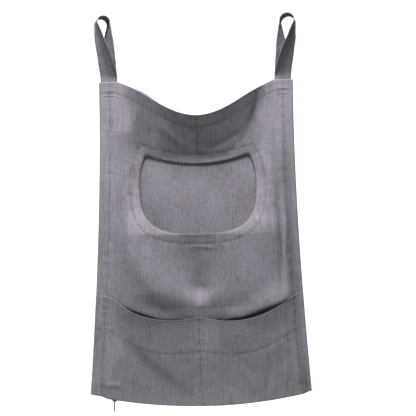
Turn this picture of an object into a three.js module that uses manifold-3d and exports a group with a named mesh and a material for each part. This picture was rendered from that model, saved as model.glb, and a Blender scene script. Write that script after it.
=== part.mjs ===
// A hanging laundry bag: two cloth panels sewn together at the sides, with a hand opening in the
// front, two patch pockets, a twisted hanging loop at each shoulder and a zip along the bottom.
// Millimetres, +Z up. The front faces -Y and the back lies against a door at +Y. The origin is
// midway between the two loops, at the height where the hooks carry them.
import * as THREE from "three";
import { mergeVertices } from "three/addons/utils/BufferGeometryUtils.js";
import Module from "manifold-3d";

const wasm = await Module();
wasm.setup();

// ---- Cloth
const cloth = 0.8; // thickness of one layer
const gap = 0.3; // between layers that are sewn together
const layer = cloth + gap;

// ---- Outline of the bag as it hangs
const shoulderHalfWidth = 221;
const hemHalfWidth = 252;
const shoulderTop = -143;
const sideLength = 709;
const hemSag = 28; // how far the bottom edge hangs below its corners
const neckDip = 83; // how far the neckline hangs below the shoulders
const flareStart = 60; // below the shoulders, where the sides start to widen
const flarePower = 1.7;
const backNeckRise = 3; // the back neckline stands this much above the front one

// ---- Front panel
const backFace = 22; // the flat rear face, against the door
const bagDepth = 26; // from the rear face to the front face, round the opening
const flangeWidth = 25; // sewn flat along each side
const sideSlope = 55; // width of the slope from the flange to the full depth
const neckLean = 18; // how far the slack yoke leans forward at the neckline
const hemSlope = 17;

// ---- Facings and hems
const neckFacingDepth = 26;
const openingFacingWidth = 23;
const pocketFacingDepth = 78;
const hemDepth = 20;
const yokeSeamWidth = 12;
const sideSeamLayers = 2; // turned-in allowances between the panels

// ---- Hand opening
const openingDrop = 171; // from the shoulders to its top corners
const openingTopSag = 16;
const openingHalfWidth = 133;
const openingTopHalfWidth = 120;
const openingWidestDrop = 62; // below its top corners, where the sides are widest
const openingHeight = 177; // from its top corners to its lowest point
const openingRecess = 12; // the cloth falls back towards the rear panel at the top of the opening

// ---- Pockets
const pocketSideHeight = 224; // above the bottom corners
const pocketDividerHeight = 175;
const pocketMouthGape = 13;

// ---- Hanging loops
const strapWidth = 38;
const strapThickness = 2 * cloth;
const strapBaseX = 198; // middle of the strap where it leaves the shoulder
const strapTopX = 209; // middle of the loop at the hook
const loopRadius = 15.5; // middle of the cloth, over the hook
const strapEndLength = 27; // sewn in between the panels
const straightStart = 9; // above the fold line, before the strap twists
const twist = THREE.MathUtils.degToRad(80);

// ---- Zip
const chainEndRoom = 4; // between the chain's end and the slope towards the side seam
const toothInner = 0.7;
const toothOuter = 3;
const toothHalfHeight = 1.2;
const tapeThickness = 0.6;
const tapeRise = 13; // sewn to the hem, above the chain
const tapeRoom = 0.8; // between the slider and the upright part of the tape
const sliderFromEnd = 9; // from the chain's end to the middle of the closed slider
const sliderLength = 12;
const sliderWall = 0.9;
const sliderPlate = 1.6;
const sliderClearance = 0.4;
const bridgeHalfLength = 3.6;
const bridgeThickness = 1.2;
const bridgeWidth = 1.6;
const bridgeRoom = 2; // clear height inside the bridge
const pullLength = 24;
const pullWidth = 7;
const pullThickness = 1.8;
const pullBarRadius = 0.7;
const stopLength = 1.6;

// ---- Worked out from the sizes above
const strapStack = 2 * strapThickness + gap;
const cornerHeight = shoulderTop - sideLength;
const hemBottom = cornerHeight - hemSag;
const hemRadius = (hemHalfWidth ** 2 + hemSag ** 2) / (2 * hemSag);
const hemCentre = hemBottom + hemRadius; // height of the middle of the bottom edge's arc
const openingTop = shoulderTop - openingDrop;
const openingSideHeight = openingTop - openingWidestDrop;
const openingBottom = openingTop - openingHeight;
const pocketTopAtSide = cornerHeight + pocketSideHeight;
const pocketTopAtDivider = cornerHeight + pocketDividerHeight;
const chainHalfLength = hemHalfWidth - flangeWidth - hemSlope - chainEndRoom;
const sliderX = sliderFromEnd - chainHalfLength;
const sliderInnerWall = toothOuter + sliderClearance + 0.1;
const sliderHalfWidth = sliderInnerWall + sliderWall;
const tapeReach = sliderHalfWidth + tapeRoom + tapeThickness; // from the chain's middle
const pocketDepth = 4 * layer + 2 * tapeReach; // the zip sets the depth behind the pockets
const neckHalfWidth = strapBaseX - strapWidth / 2 - 1;
const chainY = backFace - 2 * layer - tapeReach;
const flangeFace = backFace - cloth - gap - sideSeamLayers * cloth - gap - cloth;
const shoulderFace = backFace - 2 * layer - strapStack - gap - layer - cloth;
const middleFace = backFace - bagDepth;
const pocketFace = backFace - pocketDepth;
const strapY = backFace - 2 * layer - strapStack / 2;
const foldHeight = shoulderTop + strapStack / 2 + gap;

const material = (name, color, roughness, metalness = 0) =>
  new THREE.MeshStandardMaterial({ name, color, roughness, metalness });
const linen = material("linen", 0x7f7b84, 0.92);
const facing = material("facing", 0x77737c, 0.92);
const thread = material("thread", 0x8d8a92, 0.75);
const tapeCloth = material("zip_tape", 0x6a676e, 0.85);
const nylon = material("zip_coil", 0x5c595f, 0.5);
const metal = material("zip_metal", 0x4a484c, 0.38, 0.85);

// ---- Plain maths
const mix = (a, b, t) => a + (b - a) * t;

function smooth(from, to, value) {
  const t = THREE.MathUtils.clamp((value - from) / (to - from), 0, 1);
  return t * t * (3 - 2 * t);
}

const steps = (from, to, count) =>
  Array.from({ length: count + 1 }, (_, i) => mix(from, to, i / count));

// The places where the cloth's surfaces are worked out
const widest = Math.max(hemHalfWidth, shoulderHalfWidth) + 8;
const slopeStart = hemHalfWidth - flangeWidth - hemSlope; // where the chain's depth has to end
const acrossCloth = [
  ...steps(-widest, -slopeStart, 4),
  15 - slopeStart,
  ...steps(30 - slopeStart, slopeStart - 30, 16),
  slopeStart - 15,
  ...steps(slopeStart, widest, 4),
];
const upCloth = [
  ...steps(hemBottom - 20, hemBottom + 60, 5),
  ...steps(hemBottom + 85, shoulderTop + 13, 26),
];

// ---- Solids
function solidOf(geometry) {
  const bare = geometry.index ? geometry.toNonIndexed() : geometry.clone();
  bare.deleteAttribute("normal");
  bare.deleteAttribute("uv");
  const merged = mergeVertices(bare, 1e-4);
  return new wasm.Manifold(
    new wasm.Mesh({
      numProp: 3,
      vertProperties: new Float32Array(merged.attributes.position.array),
      triVerts: new Uint32Array(merged.index.array),
    }),
  );
}

function meshOf(name, look, solid) {
  const { numProp, vertProperties, triVerts } = solid.getMesh();
  const points = [];
  for (let i = 0; i < vertProperties.length; i += numProp) {
    points.push(...vertProperties.slice(i, i + 3));
  }
  const geometry = new THREE.BufferGeometry();
  geometry.setAttribute("position", new THREE.Float32BufferAttribute(points, 3));
  geometry.setIndex([...triVerts]);
  geometry.computeVertexNormals();
  const mesh = new THREE.Mesh(geometry, look);
  mesh.name = name;
  return mesh;
}

// A closed surface through rings of the same number of points, with a flat cap at each end.
// cap lists the triangles of the first end; without it the ring is taken as convex.
function skin(rings, cap) {
  const size = rings[0].length;
  const index = [];
  for (let i = 0; i + 1 < rings.length; i += 1) {
    for (let k = 0; k < size; k += 1) {
      const a = i * size + k;
      const b = i * size + ((k + 1) % size);
      index.push(a, b, b + size, a, b + size, a + size);
    }
  }
  const last = (rings.length - 1) * size;
  const fan = Array.from({ length: size - 2 }, (_, k) => [0, k + 2, k + 1]);
  for (const [a, b, c] of cap ?? fan) {
    index.push(a, b, c, last + a, last + c, last + b);
  }
  const geometry = new THREE.BufferGeometry();
  geometry.setAttribute("position", new THREE.Float32BufferAttribute(rings.flat(2), 3));
  geometry.setIndex(index);
  return solidOf(geometry);
}

// An upright outline of [x, z] points as a solid from one depth to another.
function prism(outline, from, to) {
  const shape = new THREE.Shape(outline.map(([x, z]) => new THREE.Vector2(x, z)));
  const geometry = new THREE.ExtrudeGeometry(shape, { depth: to - from, bevelEnabled: false });
  return solidOf(geometry.rotateX(Math.PI / 2).translate(0, to, 0));
}

// The part of a row of numbers that reaches past both ends of a span.
function covering(row, values) {
  const from = row.findLastIndex((value) => value < Math.min(...values));
  const to = row.findIndex((value) => value > Math.max(...values));
  return row.slice(from, to + 1);
}

// A slab of cloth between the surfaces y = front(x, z) and y = back(x, z), cut to an outline.
// All the cloth is worked out at the same places, so that layers stay the same distance apart.
function sheet(outline, front, back) {
  const across = covering(acrossCloth, outline.map(([x]) => x));
  const up = covering(upCloth, outline.map(([, z]) => z));
  const columns = across.length - 1;
  const rows = up.length - 1;
  const points = [];
  for (const surface of [front, back]) {
    for (const z of up) for (const x of across) points.push(x, surface(x, z), z);
  }
  const wide = columns + 1;
  const behind = wide * (rows + 1);
  const index = [];
  const quad = (a, b, c, d) => index.push(a, b, c, a, c, d);
  for (let j = 0; j < rows; j += 1) {
    for (let i = 0; i < columns; i += 1) {
      const a = j * wide + i;
      quad(a, a + 1, a + 1 + wide, a + wide);
      quad(behind + a, behind + a + wide, behind + a + wide + 1, behind + a + 1);
    }
  }
  for (let i = 0; i < columns; i += 1) {
    const top = rows * wide + i;
    quad(behind + i, behind + i + 1, i + 1, i);
    quad(top, top + 1, behind + top + 1, behind + top);
  }
  for (let j = 0; j < rows; j += 1) {
    const left = j * wide;
    const right = left + columns;
    quad(left, left + wide, behind + left + wide, behind + left);
    quad(behind + right, behind + right + wide, right + wide, right);
  }
  const geometry = new THREE.BufferGeometry();
  geometry.setAttribute("position", new THREE.Float32BufferAttribute(points, 3));
  geometry.setIndex(index);
  return solidOf(geometry).intersect(prism(outline, backFace - 200, backFace + 50));
}

// ---- The bag's outline
function halfWidth(z) {
  const flareLength = sideLength - flareStart;
  const t = Math.max(0, (shoulderTop - flareStart - z) / flareLength);
  return mix(shoulderHalfWidth, hemHalfWidth, t ** flarePower);
}

function neckline(x) {
  const t = Math.min(1, Math.abs(x) / neckHalfWidth);
  const rise = 0.5 * t * t + 0.25 * (1 - Math.cos(Math.PI * t));
  return shoulderTop - neckDip * (1 - rise);
}

const hemline = (x) => hemCentre - Math.sqrt(hemRadius ** 2 - x ** 2);

function topEdge(rise) {
  const lift = (x) => rise * (1 - Math.min(1, Math.abs(x) / neckHalfWidth));
  return steps(-neckHalfWidth, neckHalfWidth, 32).map((x) => [x, neckline(x) + lift(x)]);
}

// Side edges going down on the right, or going up on the left with side = -1.
function sideEdge(side, from, to, count, inset = 0) {
  return steps(from, to, count).map((z) => [side * (halfWidth(z) - inset), z]);
}

const hemEdge = (from, to, rise = 0, count = 24) =>
  steps(from, to, count).map((x) => [x, hemline(x) + rise]);

function panelOutline(rise = 0) {
  return [
    [-shoulderHalfWidth, shoulderTop],
    ...topEdge(rise),
    ...sideEdge(1, shoulderTop, cornerHeight, 16),
    ...hemEdge(hemHalfWidth - 0.5, -hemHalfWidth + 0.5),
    ...sideEdge(-1, cornerHeight, shoulderTop - flareStart, 14),
  ];
}

// ---- Front face of the front panel
function frontFace(x, z) {
  const flange = mix(flangeFace, shoulderFace, smooth(shoulderTop - 97, shoulderTop - 37, z));
  const middle = mix(pocketFace, middleFace, smooth(pocketTopAtSide - 12, pocketTopAtSide + 68, z));
  const slope = mix(hemSlope, sideSlope, smooth(cornerHeight + 20, cornerHeight + 150, z));
  const shoulderInset = (strapWidth + 2) * smooth(shoulderTop - 97, shoulderTop - 37, z);
  const outer = halfWidth(z) - Math.max(flangeWidth, shoulderInset + 3);
  const side = smooth(outer - slope, outer, Math.abs(x));
  const slack = smooth(openingTop - 5, shoulderTop - neckDip, z) * (1 - smooth(40, outer, Math.abs(x)));
  const below = smooth(openingBottom + 20, openingTop - 40, z);
  const recess = openingRecess * below * (1 - smooth(openingTop - 20, openingTop + 55, z));
  return mix(middle + recess, flange, side) - neckLean * slack;
}

// A layer of cloth behind the front face, counting from 0 for the panel itself.
const behindFront = (count) => [
  (x, z) => frontFace(x, z) + count * layer,
  (x, z) => frontFace(x, z) + count * layer + cloth,
];

// ---- Hand opening: half its outline, from the middle of the bottom up to the middle of the top
function openingCurve(grow) {
  const path = new THREE.Path();
  const bottom = openingBottom - grow;
  const wide = openingHalfWidth + grow;
  const topWide = openingTopHalfWidth + 0.6 * grow;
  const top = openingTop + grow;
  path.moveTo(0, bottom);
  const turn = mix(openingSideHeight, bottom, 0.78);
  path.bezierCurveTo(0.79 * wide, bottom, 1.015 * wide, turn, wide, openingSideHeight);
  path.bezierCurveTo(wide, openingSideHeight + 40, topWide + 8, top - 2, topWide, top);
  path.quadraticCurveTo(topWide / 2, top - openingTopSag, 0, top - openingTopSag);
  return path.getPoints(12).map((p) => [p.x, p.y]);
}

function openingOutline(grow = 0) {
  const right = openingCurve(grow);
  const left = right.slice(1, -1).map(([x, z]) => [-x, z]);
  return [...right, ...left.reverse()];
}

// ---- Pockets
function pocketTop(x) {
  const outer = halfWidth(pocketTopAtSide) - flangeWidth;
  const t = Math.min(1, Math.abs(x) / outer);
  const droop = 9 * Math.sin(Math.PI * Math.min(1, 1.6 * t));
  return mix(pocketTopAtDivider, pocketTopAtSide, smooth(0.12, 1.1, t) * 1.02) - droop;
}

function pocketFront(x, z) {
  const outer = halfWidth(z) - flangeWidth;
  const across = smooth(6, 40, Math.abs(x)) * (1 - smooth(outer - 70, outer - 15, Math.abs(x)));
  const gape = pocketMouthGape * across * smooth(cornerHeight + 12, cornerHeight + 152, z);
  return frontFace(x, z) - 2 * layer - gape;
}

function pocketEdge(drop = 0) {
  return steps(-halfWidth(pocketTopAtSide), halfWidth(pocketTopAtSide), 40).map((x) => [
    x,
    pocketTop(x) - drop,
  ]);
}

function pocketSolids() {
  const panel = [
    ...pocketEdge(),
    ...sideEdge(1, pocketTopAtSide - 6, cornerHeight, 8),
    ...hemEdge(hemHalfWidth - 0.5, -hemHalfWidth + 0.5),
    ...sideEdge(-1, cornerHeight, pocketTopAtSide - 6, 8),
  ];
  const strip = [...pocketEdge(), ...pocketEdge(pocketFacingDepth).reverse()];
  const bead = [
    [-0.5, hemline(0) + 4],
    [0.5, hemline(0) + 4],
    [0.5, pocketTopAtDivider - 1],
    [-0.5, pocketTopAtDivider - 1],
  ];
  const lift = gap + 0.5;
  return [
    ["pocket_panel", linen, sheet(panel, pocketFront, (x, z) => pocketFront(x, z) + cloth)],
    [
      "pocket_hem_facing",
      facing,
      sheet(
        strip,
        (x, z) => pocketFront(x, z) + layer,
        (x, z) => pocketFront(x, z) + layer + cloth,
      ),
    ],
    [
      "pocket_divider_stitch",
      thread,
      sheet(bead, (x, z) => pocketFront(x, z) - lift, (x, z) => pocketFront(x, z) - gap),
    ],
  ];
}

// ---- Panels, facings, seams and hems
function panelSolids() {
  const top = [[-shoulderHalfWidth, shoulderTop], ...topEdge(0), [shoulderHalfWidth, shoulderTop]];
  const neckStrip = (rise) => {
    const edge = [
      [-shoulderHalfWidth + 1, shoulderTop - 1],
      ...topEdge(rise).map(([x, z]) => [x, z - 1]),
      [shoulderHalfWidth - 1, shoulderTop - 1],
    ];
    return [...edge, ...top.map(([x, z]) => [x, z - neckFacingDepth]).reverse()];
  };
  const hole = prism(openingOutline(), -200, 200);
  const ring = sheet(openingOutline(openingFacingWidth), ...behindFront(1));
  const seam = [
    [-yokeSeamWidth / 2, openingTop - openingTopSag + openingFacingWidth + 1],
    [yokeSeamWidth / 2, openingTop - openingTopSag + openingFacingWidth + 1],
    [yokeSeamWidth / 2, neckline(0) - neckFacingDepth - 1],
    [-yokeSeamWidth / 2, neckline(0) - neckFacingDepth - 1],
  ];
  const hemStrip = [
    ...hemEdge(-chainHalfLength, chainHalfLength, hemDepth),
    ...hemEdge(chainHalfLength, -chainHalfLength, 1),
  ];
  const flat = (y) => () => y;
  const backInner = backFace - cloth;
  return [
    ["front_panel", linen, sheet(panelOutline(), ...behindFront(0)).subtract(hole)],
    ["back_panel", linen, prism(panelOutline(backNeckRise), backInner, backFace)],
    ["front_neck_facing", facing, sheet(neckStrip(0), ...behindFront(1))],
    ["back_neck_facing", facing, prism(neckStrip(backNeckRise), backInner - layer, backInner - gap)],
    ["opening_facing", facing, ring.subtract(hole)],
    [
      "yoke_seam",
      facing,
      sheet(seam, behindFront(1)[0], (x, z) => frontFace(x, z) + 2 * layer + cloth),
    ],
    ["front_bottom_hem", facing, sheet(hemStrip, ...behindFront(1))],
    ["back_bottom_hem", facing, sheet(hemStrip, flat(backInner - layer), flat(backInner - gap))],
    ...[-1, 1].map((side) => {
      const from = shoulderTop - strapEndLength - 2;
      const to = cornerHeight + 4;
      const strip = [
        ...sideEdge(side, from, to, 12, 1),
        ...sideEdge(side, to, from, 12, flangeWidth - 2),
      ];
      const name = side < 0 ? "side_seam_left" : "side_seam_right";
      return [name, facing, sheet(strip, behindFront(1)[0], flat(backInner - gap))];
    }),
  ];
}

// ---- Hanging loops. side is -1 for the left one; its front leg goes to the outside.
function strapRings(side) {
  const crown = -(loopRadius - strapThickness / 2); // the hook carries the loop at height 0
  const base = foldHeight;
  const twistStart = base + straightStart;
  const closed = (strapThickness + gap) / 2;
  const rearAtTop = (strapWidth / 2) * Math.sin(twist) + loopRadius * Math.cos(twist);
  const topOut = [side * Math.sin(twist), -Math.cos(twist)];
  const station = (leg, centre, height, turn, apart, lean) => {
    const along = [side * Math.cos(turn), Math.sin(turn)];
    const out = [side * Math.sin(turn), -Math.cos(turn)];
    const middle = [
      side * mix(strapBaseX, strapTopX, lean) + leg * apart * out[0],
      centre + leg * apart * out[1],
      height,
    ];
    return { middle, along, out };
  };
  const legs = steps(0, 1, 18).map((t) => {
    const height = mix(base, crown, t);
    const s = THREE.MathUtils.clamp((height - twistStart) / (crown - twistStart), 0, 1);
    const turn = twist * s;
    const apart = mix(closed, loopRadius, s ** 1.4);
    // the loop's rear edge stays level with the shoulder, clear of the door
    const rear = mix(strapY + closed, rearAtTop, s);
    const centre = rear - (strapWidth / 2) * Math.sin(turn) - apart * Math.cos(turn);
    return { height, turn, apart, centre, s };
  });
  const up = legs.map((l) => ({ ...station(1, l.centre, l.height, l.turn, l.apart, l.s), tilt: 0 }));
  const down = legs.map((l) => ({
    ...station(-1, l.centre, l.height, l.turn, l.apart, l.s),
    tilt: Math.PI,
  }));
  const over = steps(0, Math.PI, 12)
    .slice(1, -1)
    .map((a) => ({
      middle: [
        side * strapTopX + loopRadius * Math.cos(a) * topOut[0],
        loopRadius * Math.cos(a) * topOut[1],
        crown + loopRadius * Math.sin(a),
      ],
      along: [side * Math.cos(twist), Math.sin(twist)],
      out: topOut,
      tilt: a,
    }));
  const ring = ({ middle, along, out, tilt }) => {
    const half = strapWidth / 2;
    const thick = strapThickness / 2;
    const normal = [out[0] * Math.cos(tilt), out[1] * Math.cos(tilt), Math.sin(tilt)];
    const corner = (w, n) => [
      middle[0] + w * half * along[0] + n * thick * normal[0],
      middle[1] + w * half * along[1] + n * thick * normal[1],
      middle[2] + n * thick * normal[2],
    ];
    const across = steps(-1, 1, 4);
    const corners = [...across.map((w) => corner(w, 1)), ...across.reverse().map((w) => corner(w, -1))];
    return side > 0 ? corners : corners.reverse();
  };
  return [...up, ...over, ...down.reverse()].map(ring);
}

function strapSolids(side) {
  const word = side < 0 ? "left" : "right";
  const fold = new THREE.CylinderGeometry(strapStack / 2, strapStack / 2, strapWidth, 16)
    .rotateZ(Math.PI / 2)
    .translate(side * strapBaseX, strapY, foldHeight);
  const end = [
    [side * strapBaseX - strapWidth / 2, shoulderTop - strapEndLength],
    [side * strapBaseX + strapWidth / 2, shoulderTop - strapEndLength],
    [side * strapBaseX + strapWidth / 2, shoulderTop],
    [side * strapBaseX - strapWidth / 2, shoulderTop],
  ];
  return [
    [`strap_${word}`, linen, skin(strapRings(side)).add(solidOf(fold))],
    [`strap_${word}_end`, linen, prism(end, strapY - strapStack / 2, strapY + strapStack / 2)],
  ];
}

// ---- Zip. Its pieces follow the arc of the bottom edge. out is measured away from the arc's middle.
function along(x, y, out) {
  const angle = Math.asin(x / hemRadius);
  const radius = hemRadius + out;
  return [radius * Math.sin(angle), y, hemCentre - radius * Math.cos(angle)];
}

function swept(profile, from, to, count) {
  const flat = profile.map(([y, out]) => new THREE.Vector2(y, out));
  const rings = steps(from, to, count).map((x) =>
    profile.map(([y, out]) => along(x, chainY + y, out)),
  );
  return skin(rings, THREE.ShapeUtils.triangulateShape(flat, []));
}

// The same profile on the other side of the chain, still turning the same way round.
const mirrored = (profile) => profile.map(([y, out]) => [-y, out]).reverse();

function zipSolids() {
  const half = tapeThickness / 2;
  const block = (y0, y1, height) => [
    [y0, height],
    [y1, height],
    [y1, -height],
    [y0, -height],
  ];
  const tooth = block(-toothOuter, -toothInner, toothHalfHeight);
  const stop = block(-toothOuter - 0.2, -toothInner, toothHalfHeight + 0.2);
  const bar = block(-toothOuter - 0.2, toothOuter + 0.2, toothHalfHeight + 0.2);
  const tape = [
    [-toothOuter - gap, -half],
    [-tapeReach + tapeThickness, -half],
    [-tapeReach + tapeThickness, -tapeRise],
    [-tapeReach, -tapeRise],
    [-tapeReach, half],
    [-toothOuter - gap, half],
  ];
  const reach = chainHalfLength;
  const end = reach + gap + stopLength;
  return [
    ["zip_tape_front", tapeCloth, swept(tape, -end, end, 40)],
    ["zip_tape_back", tapeCloth, swept(mirrored(tape), -end, end, 40)],
    ["zip_coil_front", nylon, swept(tooth, -reach, reach, 40)],
    ["zip_coil_back", nylon, swept(mirrored(tooth), -reach, reach, 40)],
    ["zip_top_stop_front", metal, swept(stop, -end, -reach - gap, 1)],
    ["zip_top_stop_back", metal, swept(mirrored(stop), -end, -reach - gap, 1)],
    ["zip_bottom_stop", metal, swept(bar, reach + gap, end, 1)],
  ];
}

// The slider and pull are made with the chain along X and then turned to their place on the arc.
function sliderSolid() {
  const nose = 0.7;
  const l = sliderLength / 2;
  const w = sliderHalfWidth;
  const block = (x0, x1, y0, y1, z0, z1) =>
    solidOf(
      new THREE.BoxGeometry(x1 - x0, y1 - y0, z1 - z0).translate(
        (x0 + x1) / 2,
        (y0 + y1) / 2,
        (z0 + z1) / 2,
      ),
    );
  const near = toothHalfHeight + sliderClearance;
  const far = near + sliderPlate;
  const outline = new THREE.Shape();
  outline.moveTo(-l, -w);
  outline.lineTo(l - 3, -w);
  outline.quadraticCurveTo(l, -w, l, -w * nose);
  outline.lineTo(l, w * nose);
  outline.quadraticCurveTo(l, w, l - 3, w);
  outline.lineTo(-l, w);
  outline.closePath();
  const plate = (z) =>
    solidOf(
      new THREE.ExtrudeGeometry(outline, { depth: sliderPlate, bevelEnabled: false, curveSegments: 4 })
        .translate(0, 0, z),
    );
  const wall = sliderInnerWall;
  const slot = tapeThickness / 2 + sliderClearance;
  const flange = (side, z0, z1) =>
    block(-l, l - 3, Math.min(side * wall, side * w), Math.max(side * wall, side * w), z0, z1);
  const neck = block(-l + 1, -l + 6, -toothInner + gap, toothInner - gap, -far + 0.2, far - 0.2);
  const low = -far - bridgeRoom - bridgeThickness;
  const bridge = block(-bridgeHalfLength, bridgeHalfLength, -bridgeWidth / 2, bridgeWidth / 2, low, -near - 1)
    .subtract(
      block(
        -bridgeHalfLength + bridgeThickness,
        bridgeHalfLength - bridgeThickness,
        -bridgeWidth,
        bridgeWidth,
        low + bridgeThickness,
        -far,
      ),
    );
  return [plate(near), plate(-far), neck, bridge]
    .concat([-1, 1].map((s) => flange(s, slot, near + 0.2)))
    .concat([-1, 1].map((s) => flange(s, -near - 0.2, -slot)))
    .reduce((all, piece) => all.add(piece));
}

const pullPivot = toothHalfHeight + sliderClearance + sliderPlate + bridgeRoom - pullBarRadius - 0.25;

function pullSolid() {
  const bar = solidOf(
    new THREE.CylinderGeometry(pullBarRadius, pullBarRadius, pullWidth - 2, 12),
  );
  const outline = new THREE.Shape();
  const w = pullWidth / 2;
  outline.moveTo(-w + 1, 0);
  outline.lineTo(-w + 1, -7);
  outline.lineTo(-w, -10);
  outline.lineTo(-w, -pullLength + 2);
  outline.quadraticCurveTo(-w, -pullLength, -w + 2, -pullLength);
  outline.lineTo(w - 2, -pullLength);
  outline.quadraticCurveTo(w, -pullLength, w, -pullLength + 2);
  outline.lineTo(w, -10);
  outline.lineTo(w - 1, -7);
  outline.lineTo(w - 1, 0);
  outline.closePath();
  const eye = new THREE.Path();
  const e = bridgeWidth / 2 + 0.5;
  eye.moveTo(-e, 1);
  eye.lineTo(e, 1);
  eye.lineTo(e, -4.4);
  eye.lineTo(-e, -4.4);
  eye.closePath();
  const cut = new THREE.ExtrudeGeometry(new THREE.Shape(eye.getPoints()), {
    depth: 2 * pullThickness,
    bevelEnabled: false,
  });
  const tab = solidOf(
    new THREE.ExtrudeGeometry(outline, { depth: pullThickness, bevelEnabled: false, curveSegments: 4 })
      .rotateX(Math.PI / 2)
      .rotateZ(Math.PI / 2)
      .translate(-pullThickness / 2, 0, 0),
  );
  const slot = solidOf(
    cut.rotateX(Math.PI / 2).rotateZ(Math.PI / 2).translate(-pullThickness, 0, 0),
  );
  return tab.subtract(slot).add(bar);
}

// ---- The bag
const bag = new THREE.Group();
const pieces = [
  ...panelSolids(),
  ...pocketSolids(),
  ...strapSolids(-1),
  ...strapSolids(1),
  ...zipSolids(),
];
for (const [name, look, solid] of pieces) {
  bag.add(meshOf(name, look, solid));
}

const slider = meshOf("zip_slider", metal, sliderSolid());
const onArc = along(sliderX, chainY, 0);
slider.position.set(...onArc);
slider.rotation.y = -Math.asin(sliderX / hemRadius);
bag.add(slider);

const pull = meshOf("zip_pull", metal, pullSolid());
pull.position.set(...along(sliderX, chainY, pullPivot));
bag.add(pull);

export default bag;
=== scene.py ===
import math
import bmesh
import bpy
import numpy as np
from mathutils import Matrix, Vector, noise
from mathutils.bvhtree import BVHTree


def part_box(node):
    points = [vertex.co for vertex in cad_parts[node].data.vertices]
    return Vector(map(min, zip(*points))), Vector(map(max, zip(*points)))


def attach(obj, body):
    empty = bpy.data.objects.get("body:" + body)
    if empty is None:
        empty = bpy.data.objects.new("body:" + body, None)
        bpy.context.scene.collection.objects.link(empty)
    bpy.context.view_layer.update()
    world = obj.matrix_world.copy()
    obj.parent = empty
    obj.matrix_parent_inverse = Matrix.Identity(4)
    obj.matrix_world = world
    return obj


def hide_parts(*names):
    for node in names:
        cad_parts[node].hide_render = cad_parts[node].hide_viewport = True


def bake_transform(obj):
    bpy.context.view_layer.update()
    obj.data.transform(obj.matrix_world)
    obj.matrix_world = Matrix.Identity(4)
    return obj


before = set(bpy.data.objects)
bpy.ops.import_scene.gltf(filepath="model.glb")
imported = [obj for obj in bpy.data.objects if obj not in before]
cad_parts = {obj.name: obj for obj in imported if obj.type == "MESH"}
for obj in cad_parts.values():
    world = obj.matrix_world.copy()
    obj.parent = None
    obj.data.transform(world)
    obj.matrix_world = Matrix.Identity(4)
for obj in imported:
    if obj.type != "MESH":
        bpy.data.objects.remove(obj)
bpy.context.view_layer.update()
print("frame loaded")

# sizes read from the frame, in metres
backLow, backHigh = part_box("back_panel")
shoulderZ = backHigh.z
hemHalf = backHigh.x
doorY = backHigh.y
hemLowZ = backLow.z
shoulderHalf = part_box("back_neck_facing")[1].x
seamLow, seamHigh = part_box("side_seam_right")
cornerZ = seamLow.z - 0.004
hemSag = cornerZ - hemLowZ
hemRadius = (hemHalf ** 2 + hemSag ** 2) / (2 * hemSag)
arcZ = hemLowZ + hemRadius
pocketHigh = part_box("pocket_panel")[1]
endLow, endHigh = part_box("strap_right_end")
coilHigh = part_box("zip_coil_front")[1]
tapeFrontLow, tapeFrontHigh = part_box("zip_tape_front")
tapeBackLow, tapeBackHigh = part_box("zip_tape_back")

cloth = 0.0008
gap = 0.0003
layer = cloth + gap

bag = {
    "neckHalf": 0.178,
    "neckDip": 0.083,
    "flareStart": 0.060,
    "flarePower": 1.7,
    "flange": 0.025,
    "recess": 0.0195,
    "belly": 0.0145,
    "middleY": -0.004,  # front face round the opening
    "pocketY": 0.006,  # front face behind the pockets
    "flangeY": backLow.y - 2 * gap - 3 * cloth,
    "shoulderY": endLow.y - 2 * layer,
}

opening = {
    "top": shoulderZ - 0.165,
    "sag": 0.022,
    "half": 0.133,
    "topHalf": 0.114,
    "widest": 0.068,
    "height": 0.183,
    "facing": 0.023,
}
opening["low"] = opening["top"] - opening["height"]


def mix(a, b, t):
    return a + (b - a) * t


def smooth(low, high, value):
    t = np.clip((value - low) / (high - low), 0, 1)
    return t * t * (3 - 2 * t)


def halfWidth(z):
    t = np.clip((shoulderZ - bag["flareStart"] - z) / (shoulderZ - bag["flareStart"] - cornerZ), 0, 1)
    return mix(shoulderHalf, hemHalf, t ** bag["flarePower"])


def neckZ(x):
    t = np.clip(np.abs(x) / bag["neckHalf"], 0, 1)
    rise = 0.5 * t * t + 0.25 * (1 - np.cos(np.pi * t))
    return shoulderZ - bag["neckDip"] * (1 - rise)


def hemZ(x):
    return arcZ - np.sqrt(hemRadius ** 2 - x ** 2)


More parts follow.
